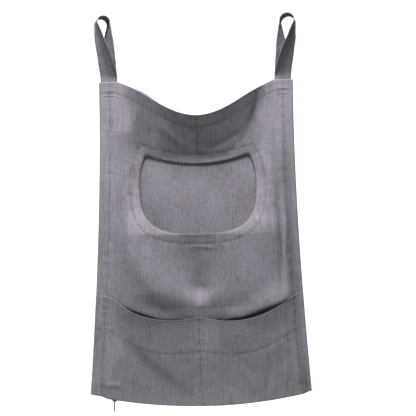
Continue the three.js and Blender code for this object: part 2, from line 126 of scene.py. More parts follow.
# folds of the hanging cloth
folds = {
    "cowlLean": 0.025,
    "cowlHalf": 0.170,
    "cowlRight": 0.152,
    "cowlLow": opening["top"] - 0.018,
    "cowlLift": 0.125,
    "vLean": 0.0220,
    "vLow": -0.655,
    "vHalf": 0.062,
    "valley": 0.024,
    # crest lines: points (x, z), width towards the light, width below, lift
    "crests": [
        ([(-0.172, -0.440), (-0.152, -0.530), (-0.104, -0.605), (-0.020, -0.655)], 0.040, 0.026, 0.0070),
        ([(0.165, -0.50), (0.110, -0.585), (0.020, -0.655)], 0.040, 0.040, 0.0014),
        ([(-0.168, -0.20), (-0.160, -0.33)], 0.010, 0.010, 0.0020),
        # upright creases by the right side seam
        ([(0.184, -0.38), (0.188, -0.50), (0.187, -0.63)], 0.0065, 0.0065, -0.0046),
        ([(0.199, -0.44), (0.196, -0.53), (0.206, -0.62)], 0.0040, 0.0040, 0.0028),
        ([(0.172, -0.50), (0.180, -0.57), (0.196, -0.625)], 0.0040, 0.0040, -0.0020),
        ([(0.197, -0.20), (0.198, -0.34), (0.201, -0.46)], 0.0030, 0.0030, -0.0018),
        ([(0.170, -0.55), (0.186, -0.64)], 0.010, 0.009, -0.0030),
        ([(0.141, -0.158), (0.134, -0.205), (0.118, -0.250)], 0.006, 0.008, -0.0046),
        ([(-0.135, -0.305), (-0.175, -0.37), (-0.18, -0.46)], 0.014, 0.014, 0.0020),
        ([(0.135, -0.305), (0.165, -0.36), (0.172, -0.43)], 0.014, 0.014, 0.0025),
        # pulled lines below the opening and across the yoke
        ([(-0.018, -0.517), (0.040, -0.521)], 0.0035, 0.0045, 0.0012),
        ([(-0.085, -0.245), (-0.020, -0.300)], 0.010, 0.009, 0.0016),
        ([(0.030, -0.300), (0.100, -0.262)], 0.008, 0.008, -0.0014),
        ([(0.004, -0.322), (0.030, -0.337), (0.060, -0.330)], 0.006, 0.006, 0.0014),
        # the cloth rolls over above the pocket mouths
        ([(0.052, -0.683), (0.100, -0.676), (0.150, -0.655), (0.222, -0.629)], 0.026, 0.0055, 0.0100),
        ([(-0.215, -0.629), (-0.150, -0.659), (-0.090, -0.680), (-0.030, -0.682)], 0.016, 0.0050, 0.0036),
    ],
    "waves": 0.0012,
    "ripples": 0.00042,
}


def crest(x, z, points, above, below, lift):
    best = np.full(np.shape(x), 1e9)
    signed = np.zeros(np.shape(x))
    fade = np.zeros(np.shape(x))
    lengths = [math.dist(a, b) for a, b in zip(points, points[1:])]
    total = sum(lengths)
    done = 0.0
    for (x0, z0), (x1, z1), length in zip(points, points[1:], lengths):
        dx, dz = (x1 - x0) / length, (z1 - z0) / length
        t = np.clip((x - x0) * dx + (z - z0) * dz, 0, length)
        px, pz = x - (x0 + dx * t), z - (z0 + dz * t)
        distance = np.hypot(px, pz)
        nearer = distance < best
        best = np.where(nearer, distance, best)
        signed = np.where(nearer, np.where(pz >= 0, 1, -1), signed)
        fade = np.where(nearer, (done + t) / total, fade)
        done += length
    width = np.where(signed > 0, above, below)
    ends = np.sin(np.pi * np.clip(fade * 0.94 + 0.03, 0, 1)) ** 0.7
    return lift * np.exp(-((best / width) ** 2)) * ends


def crests(x, z, lines):
    return sum(crest(x, z, *line) for line in lines)


def cowl(x, z):
    left = x < 0
    out = np.clip(np.abs(x) / np.where(left, folds["cowlHalf"], folds["cowlRight"]), 0, 1)
    low = folds["cowlLow"] + np.where(left, 0.045, folds["cowlLift"]) * out ** 2.4
    t = np.clip((z - low) / np.maximum(neckZ(x) - low, 0.004), 0, 1.1)
    return folds["cowlLean"] * (1 - out ** 2) ** np.where(left, 0.32, 0.55) * t ** 1.15


def underOpening(x, z):
    hem = opening["low"]
    rising = np.clip((z - folds["vLow"]) / (hem - folds["vLow"]), 0, 1)
    t = np.where(z < hem, rising, 1 - smooth(hem, hem + 0.060, z))
    half = mix(0.018, folds["vHalf"], np.clip(t, 0, 1))
    lean = folds["vLean"] * t * np.exp(-((x / 0.155) ** 4))
    # the dent deepens as it narrows, and comes forward again at its point
    deep = folds["valley"] * (1 - t) ** 0.9 * smooth(0, 0.30, t)
    centre = mix(0.004, -0.012, np.clip(t, 0, 1))
    return lean - deep * np.exp(-(((x - centre) / half) ** 2))


def waves(x, z, seed, size=0.075, tall=2.2):
    points = zip(x.ravel(), z.ravel())
    flat = np.array([noise.noise(Vector((a / size, b / (size * tall), seed))) for a, b in points])
    return flat.reshape(x.shape)


def frontFace(x, z, folded=True):
    ax = np.abs(x)
    upper = smooth(shoulderZ - 0.200, shoulderZ - 0.037, z)
    flange = mix(bag["flangeY"], bag["shoulderY"], upper)
    middle = mix(bag["pocketY"], bag["middleY"], smooth(pocketHigh.z - 0.075, pocketHigh.z + 0.010, z))
    # the lower half bellies forward, fullest behind the pocket mouths
    crown = pocketHigh.z - 0.035
    full = np.where(z < crown, smooth(hemLowZ + 0.010, crown, z), 1 - smooth(crown, crown + 0.230, z))
    middle = middle - bag["belly"] * full * (1 - 0.45 * np.clip(ax / 0.20, 0, 1) ** 2)
    slope = mix(0.017, 0.055, smooth(cornerZ + 0.020, cornerZ + 0.150, z))
    # on the right the slope runs out to the seam, so that its edge turns away
    right = smooth(-0.02, 0.02, x) * (1 - upper)
    outer = halfWidth(z) - mix(np.maximum(bag["flange"], 0.040 * upper + 0.003), 0.004, 0.95 * right)
    side = smooth(outer - slope, outer, ax)
    # the cloth falls back towards the rear panel at the top of the opening
    below = smooth(opening["low"] + 0.020, opening["top"] - 0.040, z)
    edge = opening["top"] - 0.008
    recess = bag["recess"] * below * (1 - np.clip((z - edge) / np.maximum(neckZ(x) - edge, 0.004), 0, 1))
    recess = recess * (1 - 0.75 * smooth(0.128, 0.172, ax))
    y = mix(middle + recess, flange, side) - cowl(x, z) * (1 - side) ** 0.7
    # a ridge along the right-hand stitching, its outer side turned away
    ridge = (halfWidth(z) - 0.029) - x
    ridge = np.exp(-((ridge / np.where(ridge > 0, 0.012, 0.011)) ** 2)) * smooth(cornerZ, cornerZ + 0.05, z)
    y = y - 0.0034 * ridge * (1 - upper)
    if not folded:
        return y
    lift = underOpening(x, z) + crests(x, z, folds["crests"]) + folds["waves"] * waves(x, z, 3.7)
    lift = lift + folds["ripples"] * (waves(x, z, 31.0, 0.020, 1.5) + 0.4 * waves(x, z, 47.0, 0.008, 1.0))
    return y - lift * (1 - side) ** 0.7


# pockets
pocket = {
    # the mouth's edge, (x, z), drawn between the side seams
    "mouth": [
        (-0.240, -0.627), (-0.210, -0.630), (-0.176, -0.648), (-0.142, -0.666), (-0.108, -0.677), (-0.070, -0.682),
        (-0.030, -0.681), (-0.001, -0.678), (0.030, -0.682), (0.064, -0.685), (0.098, -0.683), (0.132, -0.675),
        (0.165, -0.661), (0.198, -0.643), (0.218, -0.632), (0.246, -0.627),
    ],
    "gape": 0.017,
    "hem": 0.076,
    "waves": 0.0007,
    "crests": [
        ([(-0.200, -0.655), (-0.160, -0.720), (-0.090, -0.785), (-0.005, -0.855)], 0.030, 0.016, 0.0034),
        ([(0.207, -0.650), (0.180, -0.735), (0.120, -0.800)], 0.026, 0.020, 0.0022),
        ([(-0.222, -0.829), (-0.181, -0.829)], 0.007, 0.007, 0.0022),
        ([(0.065, -0.842), (0.066, -0.874)], 0.004, 0.005, 0.0032),
        ([(0.150, -0.700), (0.158, -0.790), (0.150, -0.868)], 0.010, 0.010, -0.0026),
        ([(0.186, -0.690), (0.196, -0.780), (0.192, -0.850)], 0.008, 0.008, 0.0024),
        ([(0.100, -0.800), (0.130, -0.850)], 0.012, 0.010, 0.0022),
    ],
}


def throughPoints(points, x):
    px = np.array([p[0] for p in points])
    pz = np.array([p[1] for p in points])
    slopes = np.gradient(pz, px)
    i = np.clip(np.searchsorted(px, x) - 1, 0, len(px) - 2)
    h = px[i + 1] - px[i]
    t = np.clip((x - px[i]) / h, 0, 1)
    a = (2 * t ** 3 - 3 * t ** 2 + 1) * pz[i] + (t ** 3 - 2 * t ** 2 + t) * h * slopes[i]
    return a + (-2 * t ** 3 + 3 * t ** 2) * pz[i + 1] + (t ** 3 - t ** 2) * h * slopes[i + 1]


def pocketZ(x):
    return throughPoints(pocket["mouth"], x)


def pocketFace(x, z):
    outer = halfWidth(z) - bag["flange"]
    ax = np.abs(x)
    across = mix(0.05, 1, smooth(0.000, 0.050, ax)) * (1 - smooth(outer - 0.075, outer - 0.010, ax))
    # the lower edge of the slack part hangs in a curve from the side seams to the middle of the hem
    low = np.where(x < 0, -0.868 + 0.205 * (ax / 0.205) ** 1.45, -0.892 + 0.05 * (ax / 0.215) ** 2)
    t = (z - low) / np.maximum(pocketZ(x) - low, 0.01)
    t = np.clip((t + np.sqrt(t * t + np.where(x < 0, 0.012, 0.05))) / 2, 0, 1)
    rest = frontFace(x, z, folded=False) - 2 * layer
    gapeFace = pocket["gape"] * across * np.where(x < 0, 1, 0.85) * t ** np.where(x < 0, 0.85, 0.90)
    fold = crests(x, z, pocket["crests"]) + pocket["waves"] * waves(x, z, 9.1, 0.06, 1.6)
    fold = fold + folds["ripples"] * (waves(x, z, 61.0, 0.020, 1.3) + 0.4 * waves(x, z, 77.0, 0.008, 1.0))
    inner = 1 - smooth(outer - 0.012, outer + 0.004, ax)
    face = rest - gapeFace - fold * inner * smooth(0.0, 0.012, z - hemZ(x) + 0.006)
    return np.minimum(face, frontFace(x, z) - 2 * layer)


# meshes
def meshObject(name, points, faces, uvs=None):
    mesh = bpy.data.meshes.new(name)
    mesh.from_pydata([tuple(map(float, p)) for p in points], [], [tuple(map(int, f)) for f in faces])
    if uvs is not None:
        layerOf = mesh.uv_layers.new(name="cut")
        loops = np.empty(len(mesh.loops), dtype=np.int32)
        mesh.loops.foreach_get("vertex_index", loops)
        layerOf.data.foreach_set("uv", np.asarray(uvs, dtype=np.float32)[loops].ravel())
    mesh.update()
    mesh.polygons.foreach_set("use_smooth", [True] * len(mesh.polygons))
    obj = bpy.data.objects.new(name, mesh)
    bpy.context.scene.collection.objects.link(obj)
    return obj


def openingOutline(grow=0.0, count=110):
    bottom = opening["low"] - grow
    wide = opening["half"] + grow
    topWide = opening["topHalf"] + 0.6 * grow
    top = opening["top"] + grow
    widest = opening["top"] - opening["widest"]

    def cubic(a, b, c, d, n):
        t = np.linspace(0, 1, n)[:, None]
        a, b, c, d = map(np.array, (a, b, c, d))
        return a * (1 - t) ** 3 + 3 * b * t * (1 - t) ** 2 + 3 * c * t ** 2 * (1 - t) + d * t ** 3

    turn = mix(widest, bottom, 0.85)
    lower = cubic((0, bottom), (0.67 * wide, bottom), (1.022 * wide, turn), (wide, widest), count)
    upper = cubic((wide, widest), (wide, widest + 0.040), (topWide + 0.008, top - 0.002), (topWide, top), count // 2)
    middle = (topWide / 2, top - opening["sag"])
    last = (0, top - opening["sag"])
    t = np.linspace(0, 1, count)[:, None]
    edge = np.array((topWide, top)) * (1 - t) ** 2 + 2 * np.array(middle) * t * (1 - t) + np.array(last) * t ** 2
    right = np.vstack([lower, upper[1:], edge[1:]])
    for _ in range(3):  # the corners of the cut are a little round
        right[1:-1] = (right[:-2] + 2 * right[1:-1] + right[2:]) / 4
    left = right[1:-1][::-1] * (-1, 1)
    return np.vstack([right, left])


def inside(outline, x, z):
    crossed = np.zeros(np.shape(x), dtype=bool)
    nextPoint = np.roll(outline, -1, axis=0)
    for (x0, z0), (x1, z1) in zip(outline, nextPoint):
        if z0 == z1:
            continue
        crossed ^= ((z0 > z) != (z1 > z)) & (x < (x1 - x0) * (z - z0) / (z1 - z0) + x0)
    return crossed


def nearestOn(outline, x, z):
    a = outline
    b = np.roll(outline, -1, axis=0)
    d = b - a
    size = (d ** 2).sum(axis=1)
    out = np.empty((len(x), 2))
    for k, (px, pz) in enumerate(zip(x, z)):
        t = np.clip(((px - a[:, 0]) * d[:, 0] + (pz - a[:, 1]) * d[:, 1]) / size, 0, 1)
        q = a + d * t[:, None]
        out[k] = q[((q - (px, pz)) ** 2).sum(axis=1).argmin()]
    return out


def spread(ends, step):
    lines = []
    for a, b in zip(ends, ends[1:]):
        n = max(1, round((b - a) / step))
        lines += list(np.linspace(a, b, n + 1)[:-1])
    return np.array(lines + [ends[-1]])


def marks(*spans):
    return np.concatenate([spread((a, b), step)[min(k, 1):] for k, (a, b, step) in enumerate(spans)])


def quadsOf(rows, columns):
    n = np.arange(rows * columns).reshape(rows, columns)
    return np.stack([n[:-1, :-1], n[1:, :-1], n[1:, 1:], n[:-1, 1:]], axis=-1).reshape(-1, 4)


def ribbonQuads(rows, columns, side):
    # wound so that the ribbon's face looks outward on either side
    return quadsOf(rows, columns)[:, [0, 3, 2, 1] if side < 0 else [1, 2, 3, 0]]


def grid(columns, rows, topAt, bottomAt):
    # columns are flat-cut positions across, -1 to 1; rows go down from 0 to 1
    u, v = np.meshgrid(columns, rows)
    z = mix(topAt(u * shoulderHalf), bottomAt(u * hemHalf), v)
    return u * halfWidth(z), z, u


def sheetMesh(name, x, z, y, u, keep=None, snap=None, face=None):
    rows, columns = x.shape
    flatX = u * (hemHalf + 0.002)
    down = np.zeros_like(z)
    down[1:] = np.cumsum(np.sqrt(np.diff(z, axis=0) ** 2 + np.diff(y, axis=0) ** 2), axis=0)
    flatZ = z[0:1] - down
    quads = quadsOf(rows, columns)
    px, pz, py = x.ravel().copy(), z.ravel().copy(), y.ravel().copy()
    uv = np.stack([flatX.ravel(), flatZ.ravel()], axis=1)
    if keep is not None:
        cx, cz = px[quads].mean(axis=1), pz[quads].mean(axis=1)
        quads = quads[keep(cx, cz)]
    if snap is not None:
        sides = np.sort(np.concatenate([quads[:, [k, (k + 1) % 4]] for k in range(4)]), axis=1)
        sides, uses = np.unique(sides, axis=0, return_counts=True)
        rim = np.unique(sides[uses == 1])
        for outline, near in snap:
            q = nearestOn(outline, px[rim], pz[rim])
            close = np.hypot(q[:, 0] - px[rim], q[:, 1] - pz[rim]) < near
            moved = rim[close]
            uv[moved] += np.stack([q[close, 0] - px[moved], q[close, 1] - pz[moved]], axis=1)
            px[moved], pz[moved] = q[close, 0], q[close, 1]
            if face is not None:
                py[moved] = face(px[moved], pz[moved])
    used = np.unique(quads)
    place = np.full(rows * columns, -1)
    place[used] = np.arange(len(used))
    points = np.stack([px, py, pz], axis=1)[used]
    return meshObject(name, points, place[quads], uv[used])


def thicken(obj, thickness=cloth, offset=-1.0):
    solid = obj.modifiers.new("thickness", "SOLIDIFY")
    solid.thickness = thickness
    solid.offset = offset
    solid.use_rim = True
    return obj


def flatArea(obj):
    mesh = obj.data
    uv = np.empty(len(mesh.loops) * 2)
    mesh.uv_layers["cut"].data.foreach_get("uv", uv)
    uv = uv.reshape(-1, 4, 2)
    a, b = uv[:, 2] - uv[:, 0], uv[:, 3] - uv[:, 1]
    return float(np.abs(a[:, 0] * b[:, 1] - a[:, 1] * b[:, 0]).sum() / 2)


rimSides = 8


# a closed round edge, as folded cloth has, along a line of points with its outward direction at each
def foldedEdge(name, points, outward, half, deep, closed=True, sides=rimSides):
    points, outward = np.asarray(points, float), np.asarray(outward, float)
    n = len(points)
    depthWay = np.array((0.0, 1.0, 0.0))
    run = np.zeros(n)
    run[1:] = np.cumsum(np.linalg.norm(np.diff(points, axis=0), axis=1))
    verts, uvs = [], []
    for i in range(n):
        for k in range(sides):
            a = 2 * math.pi * k / sides
            verts.append(points[i] + outward[i] * half * math.cos(a) + depthWay * deep * math.sin(a))
            uvs.append((run[i], k / sides * 2 * math.pi * deep))
    faces = []
    for i in range(n if closed else n - 1):
        j = (i + 1) % n
        for k in range(sides):
            m = (k + 1) % sides
            faces.append((i * sides + k, j * sides + k, j * sides + m, i * sides + m))
    if not closed:
        faces.append(tuple(range(sides)))
        faces.append(tuple((n - 1) * sides + k for k in reversed(range(sides))))
    obj = meshObject(name, verts, faces, uvs)
    fixNormals(obj)
    return obj


def fixNormals(obj):
    shape = bmesh.new()
    shape.from_mesh(obj.data)
    bmesh.ops.recalc_face_normals(shape, faces=shape.faces)
    shape.to_mesh(obj.data)
    shape.free()


# materials
def nodesOf(material):
    material.use_nodes = True
    tree = material.node_tree
    tree.nodes.clear()
    out = tree.nodes.new("ShaderNodeOutputMaterial")
    shader = tree.nodes.new("ShaderNodeBsdfPrincipled")
    tree.links.new(shader.outputs[0], out.inputs[0])
    return tree, shader


def node(tree, kind, **values):
    made = tree.nodes.new(kind)
    for key, value in values.items():
        if key.startswith("in_"):
            made.inputs[int(key[3:]) if key[3:].isdigit() else key[3:]].default_value = value
        else:
            setattr(made, key, value)
    return made


def sums(tree, operation, a, b=None):
    made = node(tree, "ShaderNodeMath", operation=operation)
    for slotIn, value in zip(made.inputs, (a, b)):
        if value is None:
            continue
        if isinstance(value, (int, float)):
            slotIn.default_value = value
        else:
            tree.links.new(value, slotIn)
    return made.outputs[0]


linen = {
    "color": (0.260, 0.243, 0.279),
    "dark": 0.62,
    "light": 1.34,
    "threads": 0.00062,  # between threads
    "slubs": 0.95,
    "roughness": 0.88,
    "sheen": 0.06,
    "bump": 0.55,
}


def linenMaterial(name, tint=1.0, slubs=linen["slubs"], threads=linen["threads"]):
    material = bpy.data.materials.new(name)
    tree, shader = nodesOf(material)
    uv = node(tree, "ShaderNodeUVMap", uv_map="cut")
    split = node(tree, "ShaderNodeSeparateXYZ")
    tree.links.new(uv.outputs[0], split.inputs[0])
    across, along = split.outputs[0], split.outputs[1]

    def streak(acrossScale, alongScale, detail, rough=0.55):
        joined = node(tree, "ShaderNodeCombineXYZ")
        tree.links.new(sums(tree, "MULTIPLY", across, acrossScale), joined.inputs[0])
        tree.links.new(sums(tree, "MULTIPLY", along, alongScale), joined.inputs[1])
        pattern = node(tree, "ShaderNodeTexNoise", in_Scale=1.0, in_Detail=detail, in_Roughness=rough)
        tree.links.new(joined.outputs[0], pattern.inputs["Vector"])
        return pattern.outputs[0]

    warpSlub = streak(900, 16, 4)
    wideSlub = streak(210, 5, 2)
    weftSlub = streak(30, 760, 3)
    cloudy = streak(11, 9, 3)
    wobble = streak(260, 260, 2)
    heather = streak(300, 60, 4, 0.66)
    crossHeather = streak(60, 320, 4, 0.66)

    def thread(way, phase):
        shift = sums(tree, "MULTIPLY", sums(tree, "SUBTRACT", wobble, 0.5), 2.4)
        turn = sums(tree, "ADD", sums(tree, "MULTIPLY", way, math.pi / threads), sums(tree, "ADD", shift, phase))
        return sums(tree, "ABSOLUTE", sums(tree, "SINE", turn))

    warp, weft = thread(across, 0.0), thread(along, 0.7)
    checker = sums(tree, "MULTIPLY", sums(tree, "SINE", sums(tree, "MULTIPLY", across, math.pi / threads)),
                   sums(tree, "SINE", sums(tree, "MULTIPLY", along, math.pi / threads)))
    over = sums(tree, "MULTIPLY_ADD", checker, 0.5)
    over.node.inputs[2].default_value = 0.5
    weave = node(tree, "ShaderNodeMix", data_type="FLOAT")
    tree.links.new(over, weave.inputs[0])
    tree.links.new(warp, weave.inputs[2])
    tree.links.new(weft, weave.inputs[3])
    weave = weave.outputs[0]

    def part(value, middle, amount):
        return sums(tree, "MULTIPLY", sums(tree, "SUBTRACT", value, middle), amount)

    tone = part(warpSlub, 0.5, 1.5 * slubs)
    shades = ((weftSlub, 0.75), (wideSlub, 0.45), (heather, 1.25), (crossHeather, 0.85), (cloudy, 0.9))
    for value, amount in shades:
        tone = sums(tree, "ADD", tone, part(value, 0.5, amount * slubs))
    tone = sums(tree, "ADD", tone, part(weave, 0.55, 0.32))
    tone = sums(tree, "ADD", tone, 0.5)
    # the painted shade layer darkens the cloth's tone
    shadeLayer = node(tree, "ShaderNodeVertexColor", layer_name="paintedShade")
    tone = sums(tree, "SUBTRACT", tone, sums(tree, "MULTIPLY", shadeLayer.outputs["Color"], 0.55))
    ramp = node(tree, "ShaderNodeMix", data_type="RGBA", clamp_factor=True)
    color = [c * tint for c in linen["color"]]
    ramp.inputs[6].default_value = (*[c * linen["dark"] * k for c, k in zip(color, (1.05, 0.99, 0.96))], 1)
    ramp.inputs[7].default_value = (*[c * linen["light"] * k for c, k in zip(color, (0.98, 1.0, 1.02))], 1)
    tree.links.new(tone, ramp.inputs[0])
    tree.links.new(ramp.outputs[2], shader.inputs["Base Color"])
    shader.inputs["Roughness"].default_value = linen["roughness"]
    shader.inputs["Specular IOR Level"].default_value = 0.25
    shader.inputs["Sheen Weight"].default_value = linen["sheen"]
    shader.inputs["Sheen Roughness"].default_value = 0.55
    shader.inputs["Sheen Tint"].default_value = (0.82, 0.80, 0.88, 1)
    height = sums(tree, "ADD", sums(tree, "MULTIPLY", weave, 0.00012), sums(tree, "MULTIPLY", warpSlub, 0.00016))
    height = sums(tree, "ADD", height, sums(tree, "MULTIPLY", weftSlub, 0.00008))
    bump = node(tree, "ShaderNodeBump", in_Strength=linen["bump"], in_Distance=1.0)
    tree.links.new(height, bump.inputs["Height"])
    tree.links.new(bump.outputs[0], shader.inputs["Normal"])
    return material


def speckledMaterial(name, color, speckle):
    material = bpy.data.materials.new(name)
    tree, shader = nodesOf(material)
    coord = node(tree, "ShaderNodeTexCoord")
    pattern = node(tree, "ShaderNodeTexNoise", in_Scale=speckle["scale"], in_Detail=speckle["detail"])
    tree.links.new(coord.outputs["Object"], pattern.inputs["Vector"])
    ramp = node(tree, "ShaderNodeMix", data_type="RGBA")
    ramp.inputs[6].default_value = (*[c * speckle["dark"] for c in color], 1)
    ramp.inputs[7].default_value = (*[c * speckle["light"] for c in color], 1)
    tree.links.new(pattern.outputs[0], ramp.inputs[0])
    tree.links.new(ramp.outputs[2], shader.inputs["Base Color"])
    bump = node(tree, "ShaderNodeBump", in_Strength=speckle["bump"], in_Distance=0.0001)
    tree.links.new(pattern.outputs[0], bump.inputs["Height"])
    tree.links.new(bump.outputs[0], shader.inputs["Normal"])
    return material, tree, shader, pattern


def threadMaterial(name, color):
    speckle = {"scale": 900.0, "detail": 2.0, "dark": 0.75, "light": 1.2, "bump": 0.4}
    material, tree, shader, pattern = speckledMaterial(name, color, speckle)
    shader.inputs["Roughness"].default_value = 0.6
    shader.inputs["Sheen Weight"].default_value = 0.15
    return material


def metalMaterial(name, color, roughness):
    speckle = {"scale": 420.0, "detail": 4.0, "dark": 0.8, "light": 1.25, "bump": 0.25}
    material, tree, shader, pattern = speckledMaterial(name, color, speckle)
    rough = node(tree, "ShaderNodeMapRange", in_3=roughness - 0.08, in_4=roughness + 0.12)
    tree.links.new(pattern.outputs[0], rough.inputs[0])
    tree.links.new(rough.outputs[0], shader.inputs["Roughness"])
    shader.inputs["Metallic"].default_value = 0.9
    return material


linenCloth = linenMaterial("linenCloth")
# a 3% darker copy of the linen: painted shade for the back panel and the facings
linenInsideShaded = linenMaterial("linenInsideShaded", tint=0.97)
linenEdge = linenMaterial("linenEdge", tint=0.98, slubs=0.2)
linenStrap = linenMaterial("linenStrap", tint=0.98)
sewingThread = threadMaterial("sewingThread", (0.215, 0.205, 0.235))
zipTape = linenMaterial("zipTape", tint=0.72, slubs=0.06, threads=0.00045)
zipNylon = threadMaterial("zipNylon", (0.13, 0.125, 0.135))
zipMetal = metalMaterial("zipMetal", (0.085, 0.082, 0.088), 0.34)


def rideBag(obj, slotName, *nodes):
    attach(obj, "bag")
    if nodes:
        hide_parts(*nodes)
    return obj


def finish(obj, material, slotName, *nodes):
    obj.data.materials.clear()
    obj.data.materials.append(material)
    return rideBag(obj, slotName, *nodes)


# painted shade, 0 to 1, kept on the cloth as a layer that darkens its colour
def setPaintedShade(obj, values=0.0):
    values = np.broadcast_to(values, len(obj.data.vertices))
    layerOf = obj.data.color_attributes.new("paintedShade", "FLOAT_COLOR", "POINT")
    layerOf.data.foreach_set("color", np.stack([values, values, values, np.ones_like(values)], axis=1).ravel())


# painted shade, darkest beside the stitching, for the shade in the sunken stitch lines
def shadeAlongStitches(obj, lines, width=0.0020, strength=0.55):
    mesh = obj.data
    points = np.empty(len(mesh.vertices) * 3)
    mesh.vertices.foreach_get("co", points)
    points = points.reshape(-1, 3)
    value = np.zeros(len(points))
    for line in lines:
        line = np.asarray(line, float)
        low, high = line.min(axis=0) - 3 * width, line.max(axis=0) + 3 * width
        near = np.where(((points[:, (0, 2)] >= low[[0, -1]]) & (points[:, (0, 2)] <= high[[0, -1]])).all(axis=1))[0]
        if not len(near):
            continue
        a, b = line[:-1][:, [0, -1]], line[1:][:, [0, -1]]
        d = b - a
        size = np.maximum((d ** 2).sum(axis=1), 1e-12)
        for i in near:
            p = points[i, (0, 2)]
            t = np.clip(((p - a) * d).sum(axis=1) / size, 0, 1)
            distance = np.sqrt(((a + d * t[:, None] - p) ** 2).sum(axis=1).min())
            value[i] = max(value[i], math.exp(-((distance / width) ** 2)))
    setPaintedShade(obj, value * strength)


def hungPanel(obj, lines, material, node):
    # painted shade beside the stitch lines
    shadeAlongStitches(obj, lines)
    thicken(obj)
    finish(obj, material, "linen", node)
    flatArea(obj)


def foldedBand(obj, slotName, node, band, thickness=cloth):
    setPaintedShade(obj)
    thicken(obj, thickness)
    finish(obj, linenInsideShaded, slotName, node)
    flatArea(obj) / band  # flat area over the band's width; the result is not used


print("materials ready")

# sizes of the cut panels and of what is turned in
sewn = {
    "panelWidth": 0.508,
    "panelLength": 0.745,
    "pocketLength": 0.270,
    "stitchInset": 0.0235,
    "neckFacing": 0.0255,
    "allowance": 0.023,
    "hem": 0.020,
    "yoke": 0.012,
}


# stitch lines, as (x, z) on the cloth
def sideLine(side, inset, top, bottom, count=220):
    z = np.linspace(top, bottom, count)
    return np.stack([side * (halfWidth(z) - inset), z], axis=1)


def neckLine(drop, count=220, rise=0.0):
    x = np.linspace(-shoulderHalf + 0.002, shoulderHalf - 0.002, count)
    top = np.where(np.abs(x) < bag["neckHalf"], neckZ(x), shoulderZ)
    return np.stack([x, top + rise - drop], axis=1)


def mouthLine(drop, count=220):
    edge = float(halfWidth(pocketHigh.z - drop)) - 0.001
    x = np.linspace(-edge, edge, count)
    return np.stack([x, pocketZ(x) - drop], axis=1)


def sideLines(top, bottom):
    return [sideLine(side, sewn["stitchInset"], top, bottom) for side in (-1, 1)]


def uprightLine(top, bottom, sway, count=40):
    k, z = np.arange(count), np.linspace(float(top), float(bottom), count)
    return np.stack([sway(k), z], axis=1)


openingStitch = openingOutline(opening["facing"] - 0.003)
pocketSideTop = pocketHigh.z - 0.001
yokeLow = opening["top"] - opening["sag"] + 0.001
frontLines = sideLines(shoulderZ - 0.004, pocketSideTop) + [
    neckLine(0.0245),
    np.vstack([openingStitch, openingStitch[:1]]),
    uprightLine(neckZ(0.0) - 0.001, yokeLow, lambda k: 0.0006 * np.sin(k * 1.7)),
]
pocketLines = sideLines(pocketSideTop - 0.004, cornerZ - 0.001) + [
    mouthLine(pocket["hem"]),
    uprightLine(pocketZ(0.0) - 0.002, hemZ(0.0) + 0.004, lambda k: 0.004 * k / 39 - 0.002),
]
backLines = sideLines(shoulderZ - 0.004, cornerZ - 0.001) + [neckLine(0.0245, rise=0.002)]


def pucker(x, z, lines, pitch, deep, width):
    out = np.zeros_like(x)
    for line, strength in lines:
        a, b = line[:-1], line[1:]
        d = b - a
        run = np.concatenate([[0], np.cumsum(np.hypot(*d.T))])
        size = np.maximum((d ** 2).sum(axis=1), 1e-12)
        low, high = line.min(axis=0) - 3 * width, line.max(axis=0) + 3 * width
        near = np.argwhere((x >= low[0]) & (x <= high[0]) & (z >= low[1]) & (z <= high[1]))
        for i, j in near:
            p = np.array((x[i, j], z[i, j]))
            t = np.clip(((p - a) * d).sum(axis=1) / size, 0, 1)
            distance = ((a + d * t[:, None] - p) ** 2).sum(axis=1)
            k = distance.argmin()
            away = math.sqrt(distance[k])
            s = run[k] + t[k] * math.sqrt(size[k])
            ripple = 0.8 * noise.noise(Vector((s / pitch, 4.2 * strength, 0)))
            ripple += 0.5 * noise.noise(Vector((s / pitch * 2.3, 9, 0)))
            press = math.exp(-((away / (0.35 * width)) ** 2))
            out[i, j] += strength * deep * (0.5 * press + ripple * 1.5 * math.exp(-((away / width) ** 2)))
    return out


# front panel
columns = marks(
    (-1, -0.985, 0.005), (-0.985, -0.86, 0.0105), (-0.86, 0.86, 0.0125), (0.86, 0.985, 0.0105), (0.985, 1, 0.005),
)
rows = spread([0, 0.012, 1], 0.0038)


def topOfPanel(x):
    return np.where(np.abs(x) < bag["neckHalf"], neckZ(x), shoulderZ)


def turnedEdge(x, z, y, back=0.0202):
    # the outermost 2 mm turn in to meet the other panel's edge
    edge = smooth(halfWidth(z) - 0.0024, halfWidth(z), np.abs(x))
    return mix(y, back, edge * 0.9)


hole = openingOutline()
frontX, frontZ, frontU = grid(columns, rows, topOfPanel, hemZ)
frontPucker = pucker(frontX, frontZ, zip(frontLines, (1.0, 1.0, 0.8, 1.5, 1.0)), 0.011, 0.0006, 0.008)
frontY = frontFace(frontX, frontZ) + frontPucker
frontY = turnedEdge(frontX, frontZ, frontY)
frontPanel = sheetMesh(
    "frontPanel", frontX, frontZ, frontY, frontU,
    keep=lambda x, z: ~inside(hole, x, z),
    snap=[(hole, 0.0040)],
    face=frontFace,
)
hungPanel(frontPanel, frontLines, linenCloth, "front_panel")
print("front panel")


# back panel, flat against the door with slight slack
def backRise(x):
    # the rear panel's edge stands a little higher, most of all near the left end of the neckline
    rest = 1 - np.clip(np.abs(x) / bag["neckHalf"], 0, 1)
    bumps = 0.0055 * np.exp(-(((x + 0.118) / 0.030) ** 2)) + 0.002 * np.exp(-(((x - 0.11) / 0.03) ** 2))
    return 0.003 * np.minimum(1, 3 * rest) + bumps


def backTop(x):
    return topOfPanel(x) + backRise(x)


